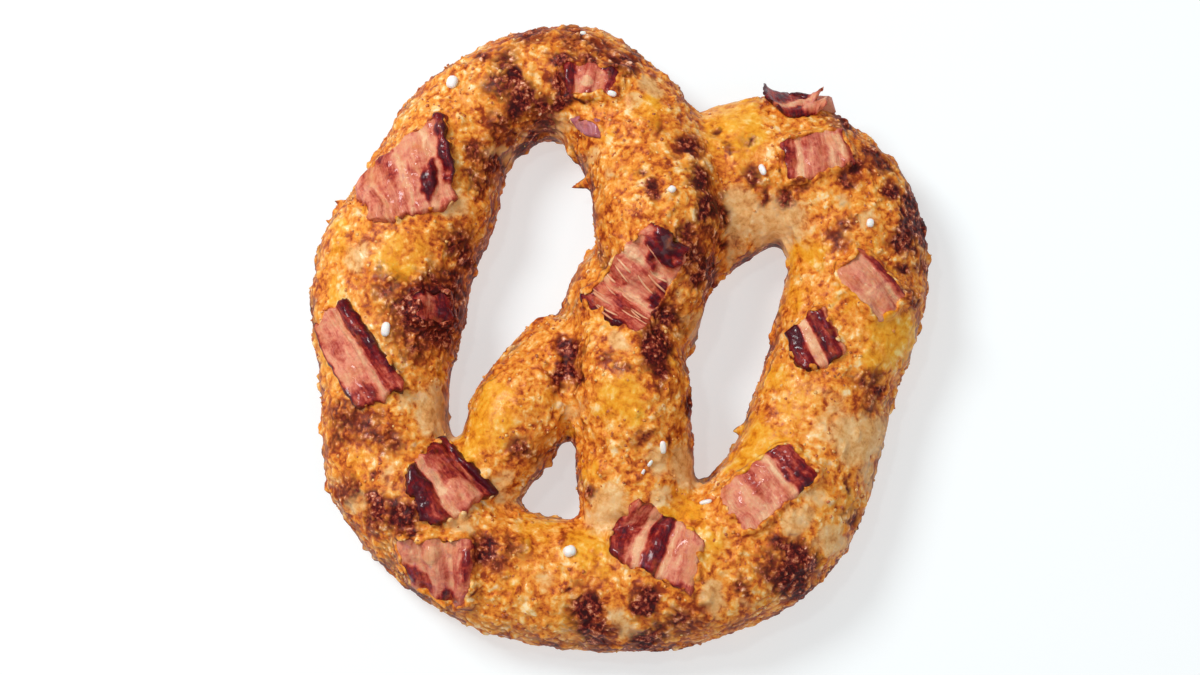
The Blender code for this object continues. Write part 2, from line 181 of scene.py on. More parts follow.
SLICES = {
    "bacon_left_arch": Slice(
        [(-68.5, 37), (-45.2, 55.5), (-40.8, 30.5), (-63.5, 24.5)],
        [(20, 0.4, 1.3), (5, 0.1, 0.2), (22, 0.5, 0.4), (5, 0.1, 0.3), (22, 0.36, 0.3), (8, 0.12, 0.2),
         (18, 0.36, 0.4)],
        [(-48.6, 36.6, 5.6, 2.1, 84, 0.95, 1.6), (-44.4, 45.5, 10.5, 2.3, -80, 0.95, 2.0),
         (-60, 44, 3.5, 2.2, 40, 0.62, 0.3), (-44, 30, 3, 2, 60, 0.6, 0.6)],
        sunk=0.25, painted_lilac_sheen=0.1,
    ),
    "bacon_left_side": Slice(
        [(-77.5, 0), (-69.8, 7.5), (-53, -16.5), (-67, -23)],
        [(7, 0.95, 0.3), (48, 0.4, 0.3), (12, 0.16, 1.0), (33, 0.88, 1.3)],
        [(-64, -19, 4, 3, 60, 0.7, 0.2), (-55.5, -14.5, 3, 2.5, 30, 0.6, 0.4)],
        curls=(0.3, 0.8), sunk=0.1, painted_lilac_sheen=0.08,
    ),
    "bacon_left_inside": Slice(
        [(-52.7, 9), (-44, 10), (-42.6, 0.5), (-53, -0.5)],
        [(35, 0.8, 0.9), (30, 0.7, 0.0), (35, 0.84, 1.0)],
        [(-50, 6, 2.5, 1.5, 30, 0.5, 0.9), (-45.5, 3, 2.2, 1.6, -40, 0.9, 1.2)],
        sunk=0.95, painted_lilac_sheen=0.3,
    ),
    "bacon_left_tip": Slice(
        [(-55, -39.5), (-45.5, -27), (-29.5, -42), (-48, -53)],
        [(30, 0.86, 1.4), (16, 0.12, 0.1), (40, 0.64, 0.8), (14, 0.94, 0.6)],
        [(-51, -42, 4, 2.8, -60, 0.95, 0.6), (-40, -44, 5, 3.5, -45, 0.35, 0.5),
         (-46, -31, 3.5, 2.5, 20, 0.84, 0.2)],
        curls=(0.4, 1.0), sunk=0.2, painted_lilac_sheen=0.15,
    ),
    "bacon_belly_left": Slice(
        [(-57, -52.5), (-35.5, -54.5), (-37, -72), (-52, -66.5)],
        [(24, 0.36, 1.3), (8, 0.2, -0.4), (26, 0.4, 1.4), (10, 0.25, -0.5), (32, 0.4, 1.5)],
        [(-47, -58, 2.5, 2.2, 20, 0.1, 0.9), (-38, -60, 5, 1.8, 80, 0.75, 0.7),
         (-50, -63, 5, 1.5, -40, 0.8, 0.2), (-43, -68, 3, 2, -20, 0.8, 0.5)],
        sunk=0.95, painted_lilac_sheen=0.35,
    ),
    "bacon_belly_middle": Slice(
        [(3.6, -43.4), (21.5, -55), (18, -70), (-4.6, -57)],
        [(26, 0.66, 0.4), (11, 0.08, 0.3), (22, 0.88, 1.2), (7, 0.14, 0.1), (27, 0.34, 0.3), (7, 0.2, 0)],
        [(15.5, -67.5, 4, 1.9, -15, 0.62, 0.3), (2.5, -47, 3.5, 2, 60, 0.5, 0.1)],
        curls=(0.5, 0.4), sunk=0.3, painted_lilac_sheen=0.12,
    ),
    "bacon_belly_right": Slice(
        [(24, -42.5), (42.4, -29), (51.3, -38.5), (31, -55.5)],
        [(16, 0.3, 0.5), (24, 0.28, 0.3), (5, 0.08, 0), (16, 0.42, 0.5), (8, 0.1, 0.2), (31, 0.78, 0.8)],
        [(33, -38.5, 3, 1.6, 60, 0.55, 0.2), (35, -43, 4, 1.8, -45, 0.5, 0.2)],
        sunk=0.6, painted_lilac_sheen=0.08,
    ),
    "bacon_right_side": Slice(
        [(41.4, -2), (51, 5.3), (57.3, -8), (45.6, -13.7)],
        [(38, 0.95, 1.0), (20, 0.1, 0.1), (33, 0.85, 0.8), (9, 0.2, 0)],
        sunk=0.25, painted_lilac_sheen=0.12,
    ),
    "bacon_right_shoulder": Slice(
        [(53.7, 12.3), (60.6, 20.2), (74, 6.3), (63.4, -1)],
        [(34, 0.26, 0.4), (34, 0.3, 0.7), (12, 0.2, 0.2), (20, 0.68, 1.3)],
        sunk=0.95, painted_lilac_sheen=0.15,
    ),
    "bacon_right_arch": Slice(
        [(39.8, 48.4), (57.5, 51.5), (60, 40), (41.6, 34.8)],
        [(24, 0.72, 0.7), (10, 0.05, 0.3), (34, 0.45, 0.4), (14, 0.2, 0.3), (18, 0.64, 0.6)],
        [(55.5, 46, 4.5, 1.4, -62, 0.15, 0.5)],
        sunk=0.85, painted_lilac_sheen=0.12,
    ),
    "bacon_right_crown": Slice(
        [(36, 61.5), (52, 62), (53.2, 55), (40, 54)],
        [(30, 0.8, 0.3), (50, 0.84, 0.3), (20, 0.4, 0.3)],
        [(50.5, 58, 4.5, 3.2, 60, 0.25, 0.8), (45, 57.2, 7, 0.9, 15, 0.2, 0.4)],
        curls=(0.3, 3.2), sunk=0.0, painted_lilac_sheen=0.1,
    ),
    "bacon_twist": Slice(
        [(-11, 7.2), (8.2, 25.0), (17.5, 17.5), (4.8, -7)],
        [(6, 0.88, 0.4), (24, 0.6, 0.5), (9, 0.08, 0.6), (22, 0.5, 0.4), (9, 0.1, 0.6), (30, 0.35, 0.4)],
        [(11.8, 19.2, 6.6, 4.8, 60, 0.97, 1.8), (-2.4, 19.5, 2, 2.6, 60, 0.8, 0.6),
         (9.5, 7, 4, 1.6, 60, 0.86, 0.5), (1.5, 12, 4, 3, 30, 0.5, 0.5), (-3.5, 7, 3, 2.5, -40, 0.5, 0.5)],
        curls=(0.3, 0.5), sunk=0.6, painted_lilac_sheen=0.08,
    ),
    "bacon_left_crown": Slice(
        [(-15.5, 69), (2, 66.5), (-1.6, 57.5), (-14.7, 58.5)],
        [(20, 0.84, 0.6), (16, 0.35, -0.2), (20, 0.6, 0.5), (14, 0.3, -0.2), (30, 0.7, 0.6)],
        [(-13, 62, 6, 1.6, 85, 0.92, 0.6), (-2, 65.5, 5.5, 1.5, -25, 0.9, 0.6),
         (-8.5, 62.5, 1.6, 1.4, 0, 0.15, 0.5)],
        sunk=0.95, painted_lilac_sheen=0.15,
    ),
    "bacon_left_inner": Slice(
        [(-13, 54.6), (-4.7, 53), (-4.9, 47.4), (-9.3, 49.5)],
        [(100, 0.42, 0.2)],
        sunk=0.3, painted_lilac_sheen=1.6,
    ),
}


def colour(red, green, blue):
    """A linear colour from sRGB numbers of 0 to 255."""
    shares = [channel / 255 for channel in (red, green, blue)]
    linear = [s / 12.92 if s <= 0.04045 else ((s + 0.055) / 1.055) ** 2.4 for s in shares]
    return (*linear, 1.0)


# ---------------------------------------------------------------- shader maths


def plug(slot, value):
    """Links a socket to a slot, or sets the slot to a constant."""
    if isinstance(value, Signal):
        value = value.socket
    if isinstance(value, bpy.types.NodeSocket):
        slot.id_data.links.new(value, slot)
    else:
        slot.default_value = value


class Signal:
    """A number that varies over a surface, used in plain expressions."""

    def __init__(self, socket):
        self.socket = socket

    def maths(self, operation, *values, clamp=False):
        node = self.socket.id_data.nodes.new("ShaderNodeMath")
        node.operation = operation
        node.use_clamp = clamp
        for slot, value in zip(node.inputs, values):
            plug(slot, value)
        return Signal(node.outputs[0])

    def __add__(self, other):
        return self.maths("ADD", self, other)

    def __sub__(self, other):
        return self.maths("SUBTRACT", self, other)

    def __rsub__(self, other):
        return self.maths("SUBTRACT", other, self)

    def __mul__(self, other):
        return self.maths("MULTIPLY", self, other)

    __radd__ = __add__
    __rmul__ = __mul__

    def held(self):
        """Kept between 0 and 1."""
        return self.maths("ADD", self, 0.0, clamp=True)

    def between(self, low, high):
        """0 at low and 1 at high, smooth on the way."""
        node = self.socket.id_data.nodes.new("ShaderNodeMapRange")
        node.interpolation_type = "SMOOTHSTEP"
        for name, value in (("Value", self), ("From Min", low), ("From Max", high)):
            plug(node.inputs[name], value)
        return Signal(node.outputs["Result"])


class Finish:
    """One material: a Principled shader and the nodes that feed it."""

    def __init__(self, name):
        self.material = bpy.data.materials.new(name)
        self.material.use_nodes = True
        self.tree = self.material.node_tree
        self.shader = self.tree.nodes["Principled BSDF"]
        self.place = self.node("ShaderNodeTexCoord").outputs["Object"]

    def node(self, kind, settings=None, inputs=None):
        made = self.tree.nodes.new(kind)
        for name, value in (settings or {}).items():
            setattr(made, name, value)
        for name, value in (inputs or {}).items():
            plug(made.inputs[name], value)
        return made

    def attribute(self, name):
        """The value that the mesh carries under this name."""
        return Signal(self.node("ShaderNodeAttribute", {"attribute_name": name}).outputs["Fac"])

    def mottle(self, size, detail=2.0, warp=0.0, seed=0.0):
        """Cloudy noise, with patches of about this size in metres."""
        made = self.node(
            "ShaderNodeTexNoise",
            {"noise_dimensions": "4D"},
            {"Vector": self.place, "W": seed, "Scale": 1 / size, "Detail": detail, "Distortion": warp},
        )
        return Signal(made.outputs["Fac"])


    def fibres(self, width, length, seed=0.0):
        """Noise drawn out along the stripes of a slice, in the slice's own millimetres."""
        across = self.attribute("across") * (1 / width)
        along = self.attribute("along") * (1 / length)
        place = self.node("ShaderNodeCombineXYZ", inputs={"X": across, "Y": along, "Z": seed})
        made = self.node(
            "ShaderNodeTexNoise",
            inputs={"Vector": place.outputs[0], "Scale": 1.0, "Detail": 3.0, "Distortion": 0.6},
        )
        return Signal(made.outputs["Fac"])

    def ramp(self, value, stops):
        """A colour for each value, from (position, colour) stops."""
        made = self.node("ShaderNodeValToRGB", inputs={"Fac": value})
        elements = made.color_ramp.elements
        while len(elements) < len(stops):
            elements.new(1.0)
        for element, (position, shade) in zip(elements, stops):
            element.position = position
            element.color = shade
        return made.outputs["Color"]

    def mix(self, share, first, second, blend="MIX"):
        """The first colour, with this share of the second."""
        made = self.node("ShaderNodeMix", {"data_type": "RGBA", "blend_type": blend})
        for slot, value in ((0, share), (6, first), (7, second)):
            plug(made.inputs[slot], value)
        return made.outputs[2]

    def relief(self, height, depth, strength=1.0):
        """Fine bumps of this depth in metres, set on the shader."""
        made = self.node(
            "ShaderNodeBump", inputs={"Height": height, "Distance": depth, "Strength": strength}
        )
        plug(self.shader.inputs["Normal"], made.outputs["Normal"])

    def set(self, **values):
        """Sets the shader's sockets: base_color is Base Color."""
        for name, value in values.items():
            plug(self.shader.inputs[name.replace("_", " ").title().replace("Ior", "IOR")], value)


# ---------------------------------------------------------------- meshes


def link(name, mesh):
    """A new piece with this mesh, put in the scene."""
    piece = bpy.data.objects.new(name, mesh)
    bpy.context.scene.collection.objects.link(piece)
    return piece


def mesh_from(name, points, triangles, smooth=True, **values):
    """A mesh from arrays of points and triangles, with named values on its points."""
    mesh = bpy.data.meshes.new(name)
    mesh.vertices.add(len(points))
    mesh.vertices.foreach_set("co", np.asarray(points, np.float32).ravel())
    mesh.loops.add(len(triangles) * 3)
    mesh.loops.foreach_set("vertex_index", np.asarray(triangles, np.int32).ravel())
    mesh.polygons.add(len(triangles))
    mesh.polygons.foreach_set("loop_start", np.arange(0, len(triangles) * 3, 3, dtype=np.int32))
    mesh.update(calc_edges=True)
    mesh.validate()
    set_values(mesh, **values)
    mesh.polygons.foreach_set("use_smooth", np.full(len(mesh.polygons), smooth))
    return mesh


def set_values(mesh, **values):
    """Keeps a number for each point of the mesh, which the finishes read by name."""
    for name, value in values.items():
        mesh.attributes.new(name, "FLOAT", "POINT").data.foreach_set(
            "value", np.asarray(value, np.float32)
        )


def mesh_arrays(mesh):
    """The points, the triangles and the points' normals of a mesh, as arrays."""
    points = np.empty(len(mesh.vertices) * 3, np.float32)
    mesh.vertices.foreach_get("co", points)
    mesh.calc_loop_triangles()
    triangles = np.empty(len(mesh.loop_triangles) * 3, np.int32)
    mesh.loop_triangles.foreach_get("vertices", triangles)
    normals = np.empty(len(mesh.vertices) * 3, np.float32)
    mesh.vertex_normals.foreach_get("vector", normals)
    return points.reshape(-1, 3), triangles.reshape(-1, 3), normals.reshape(-1, 3)


def applied(piece):
    """The piece's mesh with its modifiers applied. The piece is removed."""
    bpy.context.view_layer.update()
    graph = bpy.context.evaluated_depsgraph_get()
    mesh = bpy.data.meshes.new_from_object(piece.evaluated_get(graph))
    bpy.data.objects.remove(piece)
    mesh.polygons.foreach_set("use_smooth", np.full(len(mesh.polygons), True))
    return mesh


def reskinned(name, points, triangles, voxel, soften_steps):
    """One closed skin round everything that the triangles enclose, softened a little."""
    rough = link(name, mesh_from(name, points, triangles))
    remesh = rough.modifiers.new("skin", "REMESH")
    remesh.mode = "VOXEL"
    remesh.voxel_size = voxel
    soften = rough.modifiers.new("soften", "SMOOTH")
    soften.factor = 0.5
    soften.iterations = soften_steps
    return applied(rough)


def thinned(mesh, share):
    """The mesh with this share of its faces, fewest where it is flat."""
    full = link("full", mesh)
    thin = full.modifiers.new("thin", "DECIMATE")
    thin.ratio = share
    thin.use_collapse_triangulate = True
    return applied(full)


def ball(subdivisions):
    """The points and triangles of a ball of radius 1."""
    mesh = bmesh.new()
    bmesh.ops.create_icosphere(mesh, subdivisions=subdivisions, radius=1.0)
    points = np.array([vertex.co for vertex in mesh.verts])
    triangles = np.array([[vertex.index for vertex in face.verts] for face in mesh.faces])
    mesh.free()
    return points, triangles


class Heap:
    """Many small shapes, joined into one mesh, each with its own tone."""

    def __init__(self):
        self.points = []
        self.triangles = []
        self.tones = []
        self.count = 0

    def add(self, points, triangles, tone=0.5):
        self.points.append(points)
        self.triangles.append(triangles + self.count)
        self.tones.append(np.full(len(points), tone))
        self.count += len(points)

    def arrays(self):
        return np.concatenate(self.points), np.concatenate(self.triangles)

    def piece(self, name, smooth=True):
        points, triangles = self.arrays()
        return link(name, mesh_from(name, points, triangles, smooth, tone=np.concatenate(self.tones)))


def axes_on(normal, turn):
    """Three axes: one turned about the normal, one across it, and the normal."""
    side = normal.orthogonal().normalized()
    along = Matrix.Rotation(turn, 3, normal) @ side
    return np.array([along, normal.cross(along), normal])


def placed(points, at, axes, sizes):
    """The points, scaled to the sizes along the axes, and moved to a place."""
    return (points * np.asarray(sizes)) @ axes + np.asarray(at)


# ---------------------------------------------------------------- the dough


def spots(groups):
    """All the spots of the named groups, one after another."""
    return np.array([spot for group in groups.values() for spot in group], float)


def spot_share(points, groups):
    """How strongly each point lies in one of the spots, from 0 to 1, with wavering edges."""
    x = points[:, 0] / MM + 1.7 * noise_at(points, 3.5 * MM, 21.0) + 2.6 * noise_at(points, 9 * MM, 5.0)
    y = points[:, 1] / MM + 1.7 * noise_at(points, 3.5 * MM, 34.0) + 2.6 * noise_at(points, 9 * MM, 8.0)
    share = np.zeros(len(points))
    for spot_x, spot_y, radius, strength in spots(groups):
        away = np.hypot(x - spot_x, y - spot_y)
        share = np.maximum(share, strength / 10 * np.clip(1.5 - 0.8 * away / radius, 0, 1))
    return share


def noise_at(points, size, seed):
    """Noise from -1 to 1 at each point, with swells of about this size in metres."""
    shift = Vector((seed, seed * 1.7, seed * 2.3))
    return np.array([noise.noise(Vector(point) / size + shift) for point in points.tolist()])


def pebbles_at(points, size, seed):
    """Rounded bumps that touch each other: 1 on the tops and 0 in the creases between them."""
    shift = Vector((seed, seed * 1.3, seed * 0.7))
    heights = np.empty(len(points))
    for index, point in enumerate(points.tolist()):
        place = Vector(point) / size + shift
        nearest, second = noise.voronoi(place + noise.noise_vector(place * 0.8) * 0.45)[0][:2]
        heights[index] = second - nearest
    heights = np.clip(heights / 0.55, 0, 1)
    return heights * heights * (3 - 2 * heights)


# The grain of the dough and of the crust, and the share of the crust's triangles that is kept.
DOUGH_VOXEL = 1.3 * MM
CRUST_VOXEL = 0.6 * MM
CRUST_KEPT = 0.42


def smooth_dough():
    """The dough under the cheese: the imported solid, with its facets rounded off."""
    points, triangles, _ = mesh_arrays(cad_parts["pretzel"].data)
    return reskinned("dough", points, triangles, DOUGH_VOXEL, 9)


class Dough:
    """The dough's surface, which everything else is laid on."""

    def __init__(self, mesh):
        self.points, self.triangles, self.normals = mesh_arrays(mesh)
        self.tree = BVHTree.FromPolygons(self.points.tolist(), self.triangles.tolist())

    def nearest(self, point):
        """The nearest point of the surface, and the direction that points out of it there."""
        hit, normal, _, _ = self.tree.find_nearest(point)
        return hit, normal


def compass(turn):
    """The level direction at this turn in degrees, measured from the right."""
    angle = math.radians(turn)
    return Vector((math.cos(angle), math.sin(angle), 0))


# ---------------------------------------------------------------- bacon

SLICE_STEP = 0.42 * MM
SLICE_THICK = 1.15 * MM
SLICE_DROP = 6 * MM
BAND_BLEND = 0.03


def smoothstep(low, high, value):
    """0 below low, 1 above high, and a smooth slope between them."""
    share = np.clip((value - low) / (high - low), 0, 1)
    return share * share * (3 - 2 * share)


def band_values(bands, share):
    """The tone and the swell at shares of the way across the bands."""
    total = sum(width for width, _, _ in bands)
    tone = np.zeros_like(share)
    swell = np.zeros_like(share)
    weight = np.zeros_like(share)
    start = 0.0
    for index, (width, band_tone, band_swell) in enumerate(bands):
        end = start + width / total
        first = -9.0 if index == 0 else start
        last = 9.0 if index == len(bands) - 1 else end
        own = smoothstep(first - BAND_BLEND, first + BAND_BLEND, share)
        own = own * (1 - smoothstep(last - BAND_BLEND, last + BAND_BLEND, share))
        arch = np.sin(math.pi * np.clip((share - start) / (end - start), 0, 1)) ** 0.7
        tone += own * band_tone
        swell += own * band_swell * arch
        weight += own
        start = end
    return tone / weight, swell / weight


def laid_on(dough, corners, u, v):
    """Points on the dough below the places at (u, v), from -1 to 1, between four corners."""
    start = corners[0] * (1 - v[..., None]) / 2 + corners[1] * (1 + v[..., None]) / 2
    end = corners[3] * (1 - v[..., None]) / 2 + corners[2] * (1 + v[..., None]) / 2
    flat = (start * (1 - u[..., None]) / 2 + end * (1 + u[..., None]) / 2) * MM
    middle = Vector((*flat.mean(axis=(0, 1)), 0.1))
    level = dough.tree.ray_cast(middle, Vector((0, 0, -1)))[0].z
    places = np.empty((*u.shape, 3))
    for index in np.ndindex(u.shape):
        x, y = flat[index]
        hit = dough.tree.ray_cast(Vector((x, y, 0.1)), Vector((0, 0, -1)))[0]
        if hit is None:
            hit = dough.tree.find_nearest(Vector((x, y, level)))[0]
        places[index] = (x, y, max(hit.z, level - SLICE_DROP))
    return places


def evened(grid, steps):
    """The grid, softened inside its border, as a crisp slice bridges small dips."""
    for _ in range(steps):
        around = grid[:-2, 1:-1] + grid[2:, 1:-1] + grid[1:-1, :-2] + grid[1:-1, 2:]
        grid[1:-1, 1:-1] = grid[1:-1, 1:-1] * 0.4 + around * 0.15
    return grid


def grid_normals(grid):
    """The direction that points up from the sheet at each point of a grid."""
    across = np.gradient(grid, axis=1)
    along = np.gradient(grid, axis=0)
    normals = np.cross(across, along)
    normals /= np.linalg.norm(normals, axis=2, keepdims=True)
    return -normals if normals[:, :, 2].mean() < 0 else normals


def wavering(steps, size, seed):
    """Noise along a line of values, with swells of about this size."""
    return np.array([noise.noise(Vector((step / size, seed, 0.5))) for step in steps])


def torn_outline(u, v, seed):
    """Moves the points of a square, from -1 to 1, so that its outline is worn and uneven."""
    ends = u[:, 0]
    edges = v[0]
    sides = []
    for steps, shift in ((ends, 0), (ends, 9), (edges, 20), (edges, 30)):
        torn = 0.13 * wavering(steps, 0.5, seed + shift) + 0.10 * wavering(steps, 0.16, seed + shift + 3)
        sides.append(1 - 0.08 * steps**4 + torn)
    moved_v = np.where(v > 0, v * sides[0][:, None], v * sides[1][:, None])
    moved_u = np.where(u > 0, u * sides[2][None, :], u * sides[3][None, :])
    return moved_u, moved_v


def add_lobes(lobes, places, tones, swells, wobble):
    """Folds and blisters of one tone, raised above the stripes."""
    for x, y, half_length, half_width, turn, tone, height in lobes:
        ahead = compass(turn)
        away_x = places[..., 0] / MM - x
        away_y = places[..., 1] / MM - y
        along = (away_x * ahead.x + away_y * ahead.y) / half_length
        across = (away_y * ahead.x - away_x * ahead.y) / half_width
        away = np.hypot(along, across) + 0.45 * wobble
        share = 1 - smoothstep(0.7, 1.2, away)
        tones += (tone - tones) * share
        swells += height * np.sqrt(np.clip(1 - away**2, 0, 1))


def bacon_slice(dough, name):
    """One slice: stripes of lean and fat of different heights, with torn, curling edges."""
    plan = SLICES[name]
    seed = 3.7 * list(SLICES).index(name)
    start, last_start, end, first_end = plan.corners
    length = (np.hypot(*(first_end - start)) + np.hypot(*(end - last_start))) / 2
    width = (np.hypot(*(last_start - start)) + np.hypot(*(end - first_end))) / 2
    rows = round(length * MM / SLICE_STEP)
    columns = round(width * MM / SLICE_STEP)
    u, v = np.meshgrid(np.linspace(-1, 1, rows), np.linspace(-1, 1, columns), indexing="ij")
    places = evened(laid_on(dough, plan.corners, *torn_outline(u, v, seed)), 12)
    normals = grid_normals(places)
    flat = places.reshape(-1, 3)
    sway = 0.07 * noise_at(flat, 7 * MM, seed) + 0.025 * noise_at(flat, 1.8 * MM, seed + 5)
    tones, swells = band_values(plan.bands, (v + 1) / 2 + sway.reshape(v.shape))
    wobble = noise_at(flat, 2.2 * MM, seed + 17).reshape(v.shape)
    add_lobes(plan.lobes, places, tones, swells, wobble)
    crinkle = 0.5 * noise_at(flat, 3.6 * MM, seed + 9) + 0.25 * noise_at(flat, 1.5 * MM, seed + 14)
    inset = np.minimum((1 - abs(u)) * length, (1 - abs(v)) * width) / 2
    rounding = np.sqrt(np.clip(inset / 0.8, 0.02, 1))
    lift = (plan.end_curl * u**4 + plan.edge_curl * v**4 - plan.sunk * (0.4 + 0.5 * (u**4 + v**4))) * MM
    thick = (SLICE_THICK + (swells + crinkle.reshape(u.shape)) * MM) * rounding
    tops = places + normals * (lift + thick)[..., None]
    bottoms = places + normals * (lift - 0.5 * MM)[..., None]
    values = {
        "tone": tones,
        "rim": 1 - np.clip(inset / 1.1, 0, 1),
        "along": u * length / 2,
        "across": v * width / 2,
        "painted_lilac_sheen": np.full(u.shape, plan.painted_lilac_sheen),
    }
    return closed_slab(name + "_slice", tops, bottoms, values)


def closed_slab(name, tops, bottoms, values):
    """A closed body between two grids of points."""
    rows, columns = tops.shape[:2]
    number = np.arange(rows * columns).reshape(rows, columns)
    under = number + rows * columns
    quads = [
        (number[:-1, :-1], number[:-1, 1:], number[1:, 1:], number[1:, :-1]),
        (under[:-1, :-1], under[1:, :-1], under[1:, 1:], under[:-1, 1:]),
        (number[0, :-1], under[0, :-1], under[0, 1:], number[0, 1:]),
        (number[-1, :-1], number[-1, 1:], under[-1, 1:], under[-1, :-1]),
        (number[:-1, 0], number[1:, 0], under[1:, 0], under[:-1, 0]),
        (number[:-1, -1], under[:-1, -1], under[1:, -1], number[1:, -1]),
    ]
    triangles = []
    for corners in quads:
        square = np.stack([side.ravel() for side in corners], axis=1)
        triangles += [square[:, [0, 1, 2]], square[:, [0, 2, 3]]]
    points = np.concatenate([tops.reshape(-1, 3), bottoms.reshape(-1, 3)])
    doubled = {key: np.tile(value.ravel(), 2) for key, value in values.items()}
    mesh = mesh_from(name, points, np.concatenate(triangles), **doubled)
    work = bmesh.new()
    work.from_mesh(mesh)
    bmesh.ops.recalc_face_normals(work, faces=work.faces)
    work.to_mesh(mesh)
    work.free()
    return link(name, mesh)


# ---------------------------------------------------------------- the crust


def top_points(dough, rng, count):
    """Random places on the dough, none of them on the underside."""
    free = np.flatnonzero((dough.normals[:, 2] > -0.2) & (dough.points[:, 2] > 1.5 * MM))
    return rng.choice(free, count)


def search_tree(pieces):
    """A search tree over several pieces."""
    points = []
    triangles = []
    count = 0
    for piece in pieces:
        own_points, own_triangles, _ = mesh_arrays(piece.data)
        points.append(own_points)
        triangles.append(own_triangles + count)
        count += len(own_points)
    return BVHTree.FromPolygons(
        np.concatenate(points).tolist(), np.concatenate(triangles).tolist()
    )


def cheese_lumps(dough, cover, heap, rng):
    """Bubbles of melted cheese, sunk into the dough so that their tops stand proud."""
    shape, faces = ball(2)
    chosen = top_points(dough, rng, 2600)
    places = dough.points[chosen]
    browned = spot_share(places, BROWNED)
    smooth = np.maximum(spot_share(places, PALE), spot_share(places, MELTED))
    for index, brown, calm in zip(chosen, browned, smooth):
        point = Vector(dough.points[index])
        normal = Vector(dough.normals[index])
        if rng.random() < 0.2 + 0.7 * calm or cover.find_nearest(point)[3] < 0.9 * MM:
            continue
        long = rng.uniform(0.9, 2.6) * (0.8 if brown > 0.4 else 1.0)
        wide = long * rng.uniform(0.4, 0.9)
        high = wide * rng.uniform(0.7, 1.0)
        rise = rng.uniform(0.05, 0.5) + 0.4 * brown * rng.random()
        axes = axes_on(normal, rng.uniform(0, math.tau))
        middle = point + normal * (rise - high) * MM
        heap.add(placed(shape, middle, axes, np.array([long, wide, high]) * MM), faces)


def melted_shreds(dough, cover, heap, rng):
    """Gratings that kept their strands: bent ridges in the cheese, one or two widths high."""
    chosen = top_points(dough, rng, 1000)
    calm = spot_share(dough.points[chosen], MELTED)
    for index, smooth in zip(chosen, calm):
        point = Vector(dough.points[index])
        if rng.random() < smooth or cover.find_nearest(point)[3] < 1.0 * MM:
            continue
        turn = rng.uniform(0, math.tau)
        length = rng.uniform(2.5, 6.0) * MM
        radius = rng.uniform(0.45, 0.7) * MM
        course = []
        for _ in range(7):
            hit, normal = dough.nearest(point)
            course.append(hit + normal * radius * 0.35)
            turn += rng.uniform(-0.5, 0.5)
            point = hit + compass(math.degrees(turn)) * (length / 7)
        if min((a - b).length for a, b in zip(course, course[1:])) > 0.25 * length / 7:
            heap.add(*tube(course, radius * np.array([0.5, 0.9, 1, 1, 1, 0.9, 0.5])))


def cheese_on_rims(slices, heap, rng):
    """Cheese that crept over the edges of the bacon."""
    shape, faces = ball(2)
    for name, piece in slices.items():
        sunk = SLICES[name].sunk
        points, _, normals = mesh_arrays(piece.data)
        points = points[: len(points) // 2]
        rim = np.empty(len(piece.data.vertices), np.float32)
        piece.data.attributes["rim"].data.foreach_get("value", rim)
        edge = np.flatnonzero(rim[: len(points)] > 0.35)
        for index in rng.choice(edge, round(len(edge) * 0.34 * sunk**1.5)):
            size = rng.uniform(0.6, 1.1) + 1.1 * sunk * rng.random()
            sizes = np.array([size * rng.uniform(1, 1.8), size, size * 0.55]) * MM
            place = Vector(points[index]) + Vector((0, 0, rng.uniform(-0.3, 0.3) * size * MM))
            axes = axes_on(Vector(normals[index]), rng.uniform(0, 6))
            heap.add(placed(shape, place, axes, sizes), faces)


def set_drips(dough, heap, rng):
    """Cheese that ran down the sides and set there, low and uneven."""
    shape, faces = ball(2)
    low = (dough.points[:, 2] > 2 * MM) & (dough.points[:, 2] < 14 * MM)
    for index in rng.choice(np.flatnonzero(low & (abs(dough.normals[:, 2]) < 0.7)), 240):
        point = Vector(dough.points[index])
        normal = Vector(dough.normals[index])
        outward = Vector((normal.x, normal.y, 0)).normalized()
        along = Vector((-outward.y, outward.x, 0))
        size = rng.uniform(0.6, 1.6)
        axes = np.array([outward, along, Vector((0, 0, 1))])
        place = point + outward * rng.uniform(-0.5, 0.1) * size * MM
        place.z = max(place.z, 2.2 * MM)
        sizes = np.array([size, size * rng.uniform(0.8, 1.9), size * rng.uniform(0.4, 0.9)]) * MM
        heap.add(placed(shape, place, axes, sizes), faces)
    for x, y, height, turn, length, width in DRIPS:
        ahead = compass(turn) * MM
        middle = Vector((x, y, height)) * MM
        course = [middle + ahead * length * step for step in (-1.0, -0.6, -0.2, 0.2, 0.6, 1.0)]
        heap.add(*tube(course, width / 2 * MM * np.array([1.3, 1.2, 1.0, 0.8, 0.5, 0.2])))


def crust(dough, slices, cover):
    """The skin of dough and cheese, with its browning (which also carries painted shade on its steep
    sides), bareness and melt as values.
    """
    rng = np.random.default_rng(31)
    heap = Heap()
    heap.add(dough.points, dough.triangles)
    cheese_lumps(dough, cover, heap, rng)
    melted_shreds(dough, cover, heap, rng)
    cheese_on_rims(slices, heap, rng)
    set_drips(dough, heap, rng)
    rough = reskinned("crust_skin", *heap.arrays(), CRUST_VOXEL, 1)
    roughen(rough, cover)
    return link("crust", thinned(rough, CRUST_KEPT))


